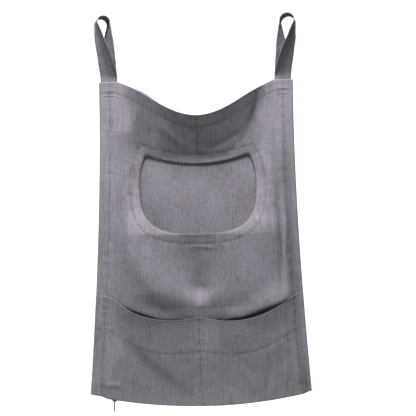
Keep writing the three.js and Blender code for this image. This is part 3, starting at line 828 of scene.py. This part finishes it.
backX, backZ, backU = grid(columns, rows, backTop, hemZ)
inner = 1 - smooth(halfWidth(backZ) - 0.060, halfWidth(backZ) - 0.024, np.abs(backX))
backWaves = waves(backX, backZ, 21.0, 0.11, 3.0)
backY = doorY - inner * (0.0016 + 0.0016 * backWaves)
backPucker = pucker(backX, backZ, zip(backLines, (1.0, 1.0, 0.8)), 0.011, 0.0005, 0.007)
backY = backY - backPucker.clip(0, 0.001)
backY = turnedEdge(backX, backZ, backY, back=0.0206)
backPanel = sheetMesh("backPanel", backX, backZ, backY, backU)
backPanel.data.flip_normals()
hungPanel(backPanel, backLines, linenInsideShaded, "back_panel")
print("back panel")


# facings, turned inside behind the edges
def facingSheet(name, x, z, y, u, node, band, keep=None, snap=None, flip=False):
    obj = sheetMesh(name, x, z, y, u, keep=keep, snap=snap, face=lambda a, b: frontFace(a, b) + layer)
    if flip:
        obj.data.flip_normals()
    foldedBand(obj, "facing", node, band)


ring = openingOutline(opening["facing"])
facingSheet(
    "openingFacing", frontX, frontZ, frontY + layer, frontU, "opening_facing", opening["facing"],
    keep=lambda x, z: inside(ring, x, z) & ~inside(hole, x, z),
    snap=[(hole, 0.0040), (ring, 0.0040)],
)
neckRows = spread([0, 1], 0.1)
neckDrop = sewn["neckFacing"]
fx, fz, fu = grid(columns[2:-2], neckRows, lambda x: topOfPanel(x) - 0.0005,
                  lambda x: topOfPanel(x / hemHalf * shoulderHalf) - neckDrop)
facingSheet("frontNeckFacing", fx, fz, frontFace(fx, fz) + layer, fu, "front_neck_facing", neckDrop)
bx, bz, bu = grid(columns[2:-2], neckRows, backTop, lambda x: backTop(x / hemHalf * shoulderHalf) - neckDrop)
facingSheet("backNeckFacing", bx, bz, np.full_like(bx, doorY - 0.0042), bu, "back_neck_facing", neckDrop, flip=True)
print("facings")


# pocket panel, one sheet across the front, caught down at the divider
pocketColumns = marks(
    (-1, -0.985, 0.005), (-0.985, -0.86, 0.0105), (-0.86, -0.012, 0.0105), (-0.012, 0.012, 0.006),
    (0.012, 0.86, 0.0105), (0.86, 0.985, 0.0105), (0.985, 1, 0.005),
)
pocketHalf = float(halfWidth(pocketHigh.z - 0.02))
pocketX, pocketZs, pocketU = grid(
    pocketColumns, spread([0, 1], 0.013), lambda x: pocketZ(x / shoulderHalf * pocketHalf), hemZ,
)
pocketPucker = pucker(pocketX, pocketZs, zip(pocketLines, (1.0, 1.0, 1.0, 0.9)), 0.011, 0.0008, 0.008)
pocketY = turnedEdge(pocketX, pocketZs, pocketFace(pocketX, pocketZs) + pocketPucker, back=0.0172)
pocketPanel = sheetMesh("pocketPanel", pocketX, pocketZs, pocketY, pocketU)
hungPanel(pocketPanel, pocketLines, linenCloth, "pocket_panel")

hx, hz, hu = grid(
    pocketColumns[4:-4], spread([0, 1], 0.045), lambda x: pocketZ(x / shoulderHalf * pocketHalf) - 0.0005,
    lambda x: pocketZ(x / hemHalf * pocketHalf) - pocket["hem"],
)
facingSheet("pocketHem", hx, hz, pocketFace(hx, hz) + layer, hu, "pocket_hem_facing", pocket["hem"])
print("pockets")


# turned-in allowances, lying between the panels
def bandBetween(name, columnsX, z, y, thickness, node, band):
    rowsZ = np.repeat(z[:, None], columnsX.shape[1], axis=1)
    flat = columnsX - columnsX[:, :1]
    points = np.stack([columnsX, y, rowsZ], axis=-1).reshape(-1, 3)
    obj = meshObject(name, points, quadsOf(*columnsX.shape), np.stack([flat, rowsZ], axis=-1).reshape(-1, 2))
    foldedBand(obj, "linen", node, band, thickness)


for side, word in ((-1, "Left"), (1, "Right")):
    seamZ = np.linspace(seamHigh.z, seamLow.z, 90)
    outerX = halfWidth(seamZ) - 0.0026
    innerX = halfWidth(seamZ) - bag["flange"] + 0.002
    order = (innerX, outerX) if side > 0 else (-outerX, -innerX)
    seamX = np.linspace(order[0], order[1], 7).T
    upperSeam = smooth(shoulderZ - 0.097, shoulderZ - 0.037, seamZ)
    seamY = np.repeat((mix(bag["flangeY"], bag["shoulderY"], upperSeam) + layer)[:, None], 7, axis=1)
    target = "side_seam_" + word.lower()
    bandBetween("sideSeam" + word, seamX, seamZ, seamY, 2 * cloth, target, sewn["allowance"])

hemFaces = {
    "front": lambda x, z: frontFace(x, z) + layer,
    "back": lambda x, z: np.full_like(x, backLow.y - layer),
}
for word, faceOf in hemFaces.items():
    low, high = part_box(word + "_bottom_hem")
    across = np.linspace(low.x, high.x, 120)
    hemX = np.repeat(across[None, :], 9, axis=0)
    hemRow = hemZ(hemX) + np.linspace(sewn["hem"], 0.0015, 9)[:, None]
    points = np.stack([hemX, faceOf(hemX, hemRow), hemRow], axis=-1).reshape(-1, 3)
    hem = meshObject(word + "Hem", points, quadsOf(*hemX.shape), np.stack([hemX, hemRow], axis=-1).reshape(-1, 2))
    foldedBand(hem, "facing", word + "_bottom_hem", sewn["hem"])

# the yoke's centre seam allowance, inside
seamRows = np.linspace(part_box("yoke_seam")[1].z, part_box("yoke_seam")[0].z, 20)
seamX = np.repeat(np.linspace(-sewn["yoke"] / 2, sewn["yoke"] / 2, 5)[None, :], 20, axis=0)
yokeY = frontFace(seamX, np.repeat(seamRows[:, None], 5, axis=1)) + layer + 0.0004
bandBetween("yokeSeam", seamX, seamRows, yokeY, cloth, "yoke_seam", sewn["yoke"])
print("seams and hems")


# rolled edges where the cloth folds over
# the last argument is painted shade along the edge, 0 to 1
def edgeAlong(name, line, face, half, deep, closed, mid=0.0009, paintedShade=0.0):
    x, z = line[:, 0], line[:, 1]
    points = np.stack([x, face(x, z) + mid, z], axis=1)
    if closed:
        tangent = np.roll(line, -1, axis=0) - np.roll(line, 1, axis=0)
    else:
        tangent = np.gradient(line, axis=0)
    tangent /= np.linalg.norm(tangent, axis=1)[:, None]
    outward = np.stack([-tangent[:, 1], np.zeros(len(x)), tangent[:, 0]], axis=1)
    obj = foldedEdge(name, points, outward, half, deep, closed)
    setPaintedShade(obj, paintedShade)
    return finish(obj, linenEdge, "linen")


def neckEdgeLine(topAt):
    x = np.linspace(-bag["neckHalf"], bag["neckHalf"], 260)
    return np.stack([x, topAt(x)], axis=1)


rimX, rimZ = np.repeat(hole, rimSides, axis=0).T  # painted shade: the rim is darkened up its sides and across the top, more on the right, for the shadowed gap behind the opening's edge
rimPaintedShade = smooth(opening["low"] + 0.012, opening["low"] + 0.050, rimZ) * np.where(rimX > 0, 1.0, 0.75)
edgeAlong("openingRim", hole, frontFace, 0.0009, 0.0013, True, paintedShade=rimPaintedShade)
edgeAlong("neckRim", neckEdgeLine(neckZ), frontFace, 0.0009, 0.0013, False)
edgeAlong("backNeckRim", neckEdgeLine(backTop), lambda x, z: np.full_like(x, doorY - 0.0034), 0.0008, 0.0012, False,
          mid=0.0)
mouthX = np.linspace(-0.2345, 0.2345, 320)
edgeAlong("mouthRim", np.stack([mouthX, pocketZ(mouthX)], axis=1), pocketFace, 0.0006, 0.0013, False)
print("edges")

# strap loops: a flat tape folded over the hook, each leg turned edge-on as it rises
strap = {
    "width": endHigh.x - endLow.x,
    "thick": 2 * cloth,
    "baseX": (endLow.x + endHigh.x) / 2,
    "topX": 0.209,
    "radius": {-1: 0.0136, 1: 0.0155},
    "twist": {-1: math.radians(73), 1: math.radians(80)},
    "curl": 0.0038,  # the edges of a twisted tape roll in
    "wander": 0.0012,
    "seamInset": 0.003,
}
strap["y"] = doorY - 2 * layer - (2 * strap["thick"] + gap) / 2
strap["fold"] = shoulderZ + (2 * strap["thick"] + gap) / 2 + gap


def strapStations(side):
    radius, twist = strap["radius"][side], strap["twist"][side]
    crown = -(radius - strap["thick"] / 2)
    closed = (strap["thick"] + gap) / 2
    start = strap["fold"] + 0.009
    half = strap["width"] / 2
    rearTop = half * math.sin(twist) + radius * math.cos(twist)
    legs = []
    for t in np.linspace(0, 1, 46):
        height = mix(strap["fold"] - 0.004, crown, t)
        s = min(1, max(0, (height - start) / (crown - start)))
        turn = twist * s
        apart = mix(closed, radius, s ** 1.4)
        rear = mix(strap["y"] + closed, rearTop, s)
        legs.append((height, turn, apart, rear - half * math.sin(turn) - apart * math.cos(turn), s))

    def leg(way, data):
        height, turn, apart, centre, s = data
        along = Vector((side * math.cos(turn), math.sin(turn), 0))
        out = Vector((side * math.sin(turn), -math.cos(turn), 0))
        middle = Vector((side * mix(strap["baseX"], strap["topX"], s), centre, height)) + out * (way * apart)
        return middle, along, out, (0 if way > 0 else math.pi), s

    path = [leg(1, data) for data in legs]
    out = Vector((side * math.sin(twist), -math.cos(twist), 0))
    along = Vector((side * math.cos(twist), math.sin(twist), 0))
    for a in np.linspace(0, math.pi, 22)[1:-1]:
        middle = Vector((side * strap["topX"], 0, crown + radius * math.sin(a))) + out * (radius * math.cos(a))
        path.append((middle, along, out, float(a), 1.0))
    return path + [leg(-1, data) for data in reversed(legs)]


def strapLoop(side):
    name = "strapLeft" if side < 0 else "strapRight"
    path = strapStations(side)
    flat = []
    # the sewn-in ends, straight down behind the front panel
    for way, at in ((1, 0), (-1, -1)):
        middle, along, out, tilt, s = path[at]
        down = np.linspace(endLow.z, middle.z, 6)[:-1]
        flat.append([(Vector((middle.x, middle.y, z)), along, out, tilt, 0.0) for z in down])
    path = flat[0] + path + list(reversed(flat[1]))
    across = np.linspace(-1, 1, 13)
    verts, uvs, run, last = [], [], 0.0, None
    for k, (middle, along, out, tilt, s) in enumerate(path):
        normal = out * math.cos(tilt) + Vector((0, 0, math.sin(tilt)))
        run += (middle - last).length if last is not None else 0
        last = middle
        rise = strap["curl"] * min(1, 4 * s) * (0.15 + 0.85 * min(1, 3.2 * (1 - s)))
        drift = strap["wander"] * noise.noise(Vector((run * 28, side * 3.1, 0))) * min(1, 6 * s)
        for w in across:
            bend = rise * (w * w) ** 1.4
            foot = math.exp(-((s / 0.16) ** 2)) * min(1, 12 * s)
            ripple = 0.0007 * min(1, 6 * s) * noise.noise(Vector((w * 1.7, run * 60, side * 5)))
            ripple += 0.0016 * foot * noise.noise(Vector((w * 1.2, run * 150, side * 8)))
            verts.append(middle + along * (w * strap["width"] / 2) + normal * (bend + drift + ripple))
            uvs.append((w * strap["width"] / 2 + side * 0.3, run))
    obj = meshObject(name, verts, ribbonQuads(len(path), len(across), side), uvs)
    # painted shade: a dark line along each stitch line near the strap's edges, standing for the stitching and the
    # shade in its dent
    seamAway = (1 - np.abs(across)) * strap["width"] / 2 - strap["seamInset"]
    setPaintedShade(obj, np.tile(0.5 * np.exp(-((seamAway / 0.0012) ** 2)), len(path)))
    thicken(obj, strap["thick"], 0.0)
    obj.data.materials.append(linenStrap)
    word = name.replace("strap", "").lower()
    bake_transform(obj)
    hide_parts("strap_" + word, "strap_" + word + "_end")


for side in (-1, 1):
    strapLoop(side)
print("straps")


# stitches: short threads laid one after another along the seam lines
stitch = {
    "pitch": 0.0031,
    "length": 0.0023,
    "radius": 0.00030,
    "stand": 0.00012,
}


def guideCurve(lines):
    curve = bpy.data.curves.new("guide", "CURVE")
    curve.dimensions = "3D"
    for points in lines:
        spline = curve.splines.new("POLY")
        spline.points.add(len(points) - 1)
        spline.points.foreach_set("co", np.hstack([points, np.ones((len(points), 1))]).astype(np.float32).ravel())
    obj = bpy.data.objects.new("guide", curve)
    bpy.context.scene.collection.objects.link(obj)
    return obj


def rowTree(shape):
    tree = bpy.data.node_groups.new(shape, "GeometryNodeTree")
    tree.interface.new_socket("Geometry", in_out="OUTPUT", socket_type="NodeSocketGeometry")
    sockets = {}
    for label, kind in (("Guide", "Geometry"), ("Pitch", "Float"), ("Length", "Float"), ("Radius", "Float"),
                        ("Slant", "Float"), ("Finish", "Material")):
        made = tree.interface.new_socket(label, in_out="INPUT", socket_type="NodeSocket" + kind)
        sockets[label] = made.identifier

    def add(kind, joined, **values):
        made = node(tree, kind, **values)
        for key, source in joined.items():
            tree.links.new(source, made.inputs[key])
        return made.outputs

    given = add("NodeGroupInput", {})
    place = add("GeometryNodeCurveToPoints", {"Curve": given["Guide"], "Length": given["Pitch"]}, mode="LENGTH")
    if shape == "stitchRow":
        body = add("GeometryNodeMeshUVSphere", {}, in_Segments=6, in_Rings=5, in_Radius=0.5)
        double = add("ShaderNodeMath", {0: given["Radius"]}, operation="MULTIPLY", in_1=2)
        size = add("ShaderNodeCombineXYZ", {0: double[0], 1: double[0], 2: given["Length"]})
    else:  # one turn of the nylon coil, a flattened ring
        turn = add("GeometryNodeCurvePrimitiveCircle", {"Radius": given["Length"]}, in_Resolution=12)
        wire = add("GeometryNodeCurvePrimitiveCircle", {"Radius": given["Radius"]}, in_Resolution=5)
        body = add("GeometryNodeCurveToMesh", {"Curve": turn["Curve"], "Profile Curve": wire["Curve"]})
        size = add("ShaderNodeCombineXYZ", {}, in_0=0.86, in_1=1, in_2=1)
    amount = add("ShaderNodeCombineXYZ", {0: given["Slant"], 1: given["Slant"]})
    back = add("ShaderNodeVectorMath", {0: amount[0]}, operation="SCALE", in_Scale=-1)
    wobble = add("FunctionNodeRandomValue", {0: back[0], 1: amount[0]}, data_type="FLOAT_VECTOR", in_Seed=11)
    turned = add("FunctionNodeRotateEuler", {"Rotation": place["Rotation"], "Rotate By": wobble[0]},
                 rotation_type="EULER", space="LOCAL")
    copies = add("GeometryNodeInstanceOnPoints", {
        "Points": place["Points"], "Instance": body["Mesh"], "Rotation": turned[0], "Scale": size[0],
    })
    real = add("GeometryNodeRealizeInstances", {0: copies[0]})
    paint = add("GeometryNodeSetMaterial", {"Geometry": real[0], "Material": given["Finish"]})
    add("NodeGroupOutput", {0: paint[0]})
    return tree, sockets


trees = {shape: rowTree(shape) for shape in ("stitchRow", "coilRow")}


def bakeRow(name, shape, lines, pitch, length, radius, slant, finishWith):
    guide = guideCurve(lines)
    tree, sockets = trees[shape]
    maker = guide.modifiers.new("row", "NODES")
    maker.node_group = tree
    labels = ("Pitch", "Length", "Radius", "Slant", "Finish")
    for label, value in zip(labels, (pitch, length, radius, slant, finishWith)):
        maker[sockets[label]] = value
    made = bpy.data.meshes.new_from_object(guide.evaluated_get(bpy.context.evaluated_depsgraph_get()))
    guide.modifiers.remove(maker)
    bpy.data.objects.remove(guide)
    made.name = name
    obj = bpy.data.objects.new(name, made)
    bpy.context.scene.collection.objects.link(obj)
    obj.data.polygons.foreach_set("use_smooth", [True] * len(obj.data.polygons))
    fixNormals(obj)
    return obj


class Surface:
    # the finished cloth, looked up from in front or from behind
    def __init__(self, obj, way=1):
        points = [v.co.copy() for v in obj.data.vertices]
        self.tree = BVHTree.FromPolygons(points, [list(p.vertices) for p in obj.data.polygons])
        self.way = way

    def on(self, line, stand):
        out = []
        for x, z in line:
            hit = self.tree.ray_cast(Vector((x, -0.3 * self.way, z)), Vector((0, self.way, 0)))
            if hit[0] is not None:
                out.append((x, hit[0].y - self.way * stand, z))
        return np.array(out)


def resample(line, step=0.003):
    d = np.hypot(*np.diff(line, axis=0).T)
    run = np.concatenate([[0], np.cumsum(d)])
    at = np.linspace(0, run[-1], max(2, int(run[-1] / step)))
    return np.stack([np.interp(at, run, line[:, 0]), np.interp(at, run, line[:, 1])], axis=1)


def stitches(name, surface, lines, *nodes):
    rows3d = [surface.on(resample(line), stitch["stand"]) for line in lines]
    rows3d = [r for r in rows3d if len(r) > 1]
    obj = bakeRow(name, "stitchRow", rows3d, stitch["pitch"], stitch["length"], stitch["radius"], 0.10, sewingThread)
    rideBag(obj, "thread", *nodes)


tackLines = []
for side in (-1, 1):
    for drop in (0.0205, 0.0315):  # bar tacks hold the strap ends behind the shoulder
        x = np.linspace(side * 0.1965 - 0.009, side * 0.1965 + 0.009, 10)
        tackLines.append(np.stack([x, np.full_like(x, shoulderZ - drop)], axis=1))
shoulderTop = []
for side in (-1, 1):
    x = np.linspace(side * bag["neckHalf"], side * (shoulderHalf - 0.003), 20)
    shoulderTop.append(np.stack([x, np.full_like(x, shoulderZ - 0.003)], axis=1))
frontSurface, pocketSurface, backSurface = Surface(frontPanel), Surface(pocketPanel), Surface(backPanel, -1)
stitches("frontStitches", frontSurface, frontLines[:4] + shoulderTop)
tackRows = [frontSurface.on(resample(line), 0.0002) for line in tackLines]
tacks = bakeRow("barTacks", "stitchRow", tackRows, 0.0011, 0.0030, 0.00055, 0.5, sewingThread)
rideBag(tacks, "thread")
stitches("yokeStitches", frontSurface, [frontLines[4] + (0.0024, 0)])
stitches("pocketStitches", pocketSurface, pocketLines[:3])
stitches("dividerStitches", pocketSurface, [pocketLines[3]], "pocket_divider_stitch")
stitches("backStitches", backSurface, backLines + tackLines)
print("stitches")

# zip along the bottom: two tapes, two nylon coils, slider and pull
zipper = {
    "tapeThick": 0.0006,
    "tapeRise": 0.013,
    "coilPitch": 0.00135,
    "coilTurn": 0.00128,
    "coilWire": 0.00036,
    "end": coilHigh.x,
}
chainY = (coilHigh.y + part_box("zip_coil_back")[0].y) / 2


def hemPoint(x, up, y):
    away = math.hypot(x, hemZ(x) - arcZ)
    return Vector((x * (away - up) / away, y, arcZ + (hemZ(x) - arcZ) * (away - up) / away))


def zipTapeMesh(name, way, low, high, node):
    edge = low.y if way < 0 else high.y
    inner = chainY + way * 0.0009
    profile = [(inner, 0.0)] + [(mix(inner, edge - way * 0.0009, t), 0.0) for t in (0.35, 0.7, 1.0)]
    profile += [(edge - way * 0.0004, 0.0006), (edge - way * 0.0003, 0.0014)]
    profile += [(edge - way * 0.0003, up) for up in (0.004, 0.007, 0.010, zipper["tapeRise"] - 0.0003)]
    verts, uvs = [], []
    end = high.x - 0.0004
    across = np.linspace(-end, end, 260)
    for x in across:
        length = 0.0
        for k, (y, up) in enumerate(profile):
            length += math.dist(profile[k], profile[k - 1]) if k else 0
            wave = 0.00018 * noise.noise(Vector((x * 90, k * 0.3, way))) * min(1, k / 3)
            verts.append(hemPoint(x, up + 0.0003 + wave, y))
            uvs.append((x, length))
    obj = meshObject(name, verts, ribbonQuads(len(across), len(profile), way), uvs)
    setPaintedShade(obj)
    thicken(obj, zipper["tapeThick"], 0.0)
    finish(obj, zipTape, "zip_tape", node)


zipTapeMesh("zipTapeFront", -1, tapeFrontLow, tapeFrontHigh, "zip_tape_front")
zipTapeMesh("zipTapeBack", 1, tapeBackLow, tapeBackHigh, "zip_tape_back")
for way, word in ((-1, "Front"), (1, "Back")):
    x = np.linspace(-zipper["end"] + 0.001, zipper["end"] - 0.001, 300)
    line = [hemPoint(float(a), 0.0001, chainY + way * 0.00125) for a in x]
    coil = bakeRow("zipCoil" + word, "coilRow", [np.array(line)], zipper["coilPitch"], zipper["coilTurn"],
                   zipper["coilWire"], 0.0, zipNylon)
    alongChain = np.linspace(-zipper["end"], zipper["end"], 200)
    core = [hemPoint(float(a), 0.0001, chainY + way * 0.0019) for a in alongChain]
    coreObj = foldedEdge("zipCord" + word, [tuple(p) for p in core], [(0, 0, 1)] * 200, 0.0006, 0.0006, False)
    setPaintedShade(coreObj)
    finish(coreObj, zipTape, "zip_tape")
    rideBag(coil, "zip_coil", "zip_coil_" + word.lower())
for name in ("zip_slider", "zip_pull", "zip_top_stop_front", "zip_top_stop_back", "zip_bottom_stop"):
    part = bpy.data.objects[name]
    for slotOf in part.material_slots:
        slotOf.material = zipMetal
print("zip")

# camera, square to the bag's front, held about a degree off level
view = {
    "at": (0.0225, -1.825, -0.4325),
    "roll": 1.0,
    "lens": 70,
}
cameraData = bpy.data.cameras.new("camera")
cameraData.lens = view["lens"]
cameraData.sensor_width = 36
camera = bpy.data.objects.new("camera", cameraData)
camera.location = view["at"]
camera.rotation_euler = (math.pi / 2, math.radians(view["roll"]), 0)
bpy.context.scene.collection.objects.link(camera)
bpy.context.scene.camera = camera

studio = {
    "side": 6.0,
    "top": 70.0,
    "front": 3.0,
    "back": 38.0,
    "world": 0.06,
    "backdrop": 1.25,
}


def softbox(name, place, aim, size, power):
    data = bpy.data.lights.new(name, "AREA")
    data.shape = "RECTANGLE"
    data.size, data.size_y = size
    data.energy = power
    lamp = bpy.data.objects.new(name, data)
    lamp.location = place
    lamp.rotation_euler = (Vector(aim) - Vector(place)).to_track_quat("-Z", "Y").to_euler()
    bpy.context.scene.collection.objects.link(lamp)


softbox("leftBox", (-2.1, -1.0, 0.35), (0, 0, -0.5), (0.9, 1.5), studio["side"])
softbox("rightBox", (2.1, -1.0, 0.35), (0, 0, -0.5), (0.9, 1.5), 0.12 * studio["side"])
softbox("topBox", (-0.12, -0.72, 1.25), (0, 0, -0.45), (1.1, 0.6), studio["top"])
softbox("frontBox", (-0.3, -3.0, 0.2), (0, 0, -0.5), (1.5, 1.5), studio["front"])
softbox("backBox", (0.5, 1.7, 1.1), (0, 0, -0.45), (1.6, 1.2), studio["back"])

# the surroundings look white but give little light
world = bpy.data.worlds.new("studio")
bpy.context.scene.world = world
world.use_nodes = True
tree = world.node_tree
seen = tree.nodes["Background"]
seen.inputs[0].default_value = (1, 1, 1, 1)
extra = studio["backdrop"] - studio["world"]
lit = node(tree, "ShaderNodeMath", operation="MULTIPLY_ADD", in_1=extra, in_2=studio["world"])
tree.links.new(node(tree, "ShaderNodeLightPath").outputs["Is Camera Ray"], lit.inputs[0])
tree.links.new(lit.outputs[0], seen.inputs[1])

floorMaterial = bpy.data.materials.new("paleFloor")
tree, shader = nodesOf(floorMaterial)
shader.inputs["Base Color"].default_value = (0.8, 0.8, 0.8, 1)
shader.inputs["Roughness"].default_value = 0.8
floorZ = hemLowZ - 0.47
floorEdge = [(math.cos(a), math.sin(a), floorZ) for a in np.linspace(0, 2 * math.pi, 97)[:-1]]
floor = meshObject("floor", floorEdge, [tuple(range(96))])
floor.data.materials.append(floorMaterial)
bpy.context.scene.view_settings.view_transform = "Standard"
print("camera and light")
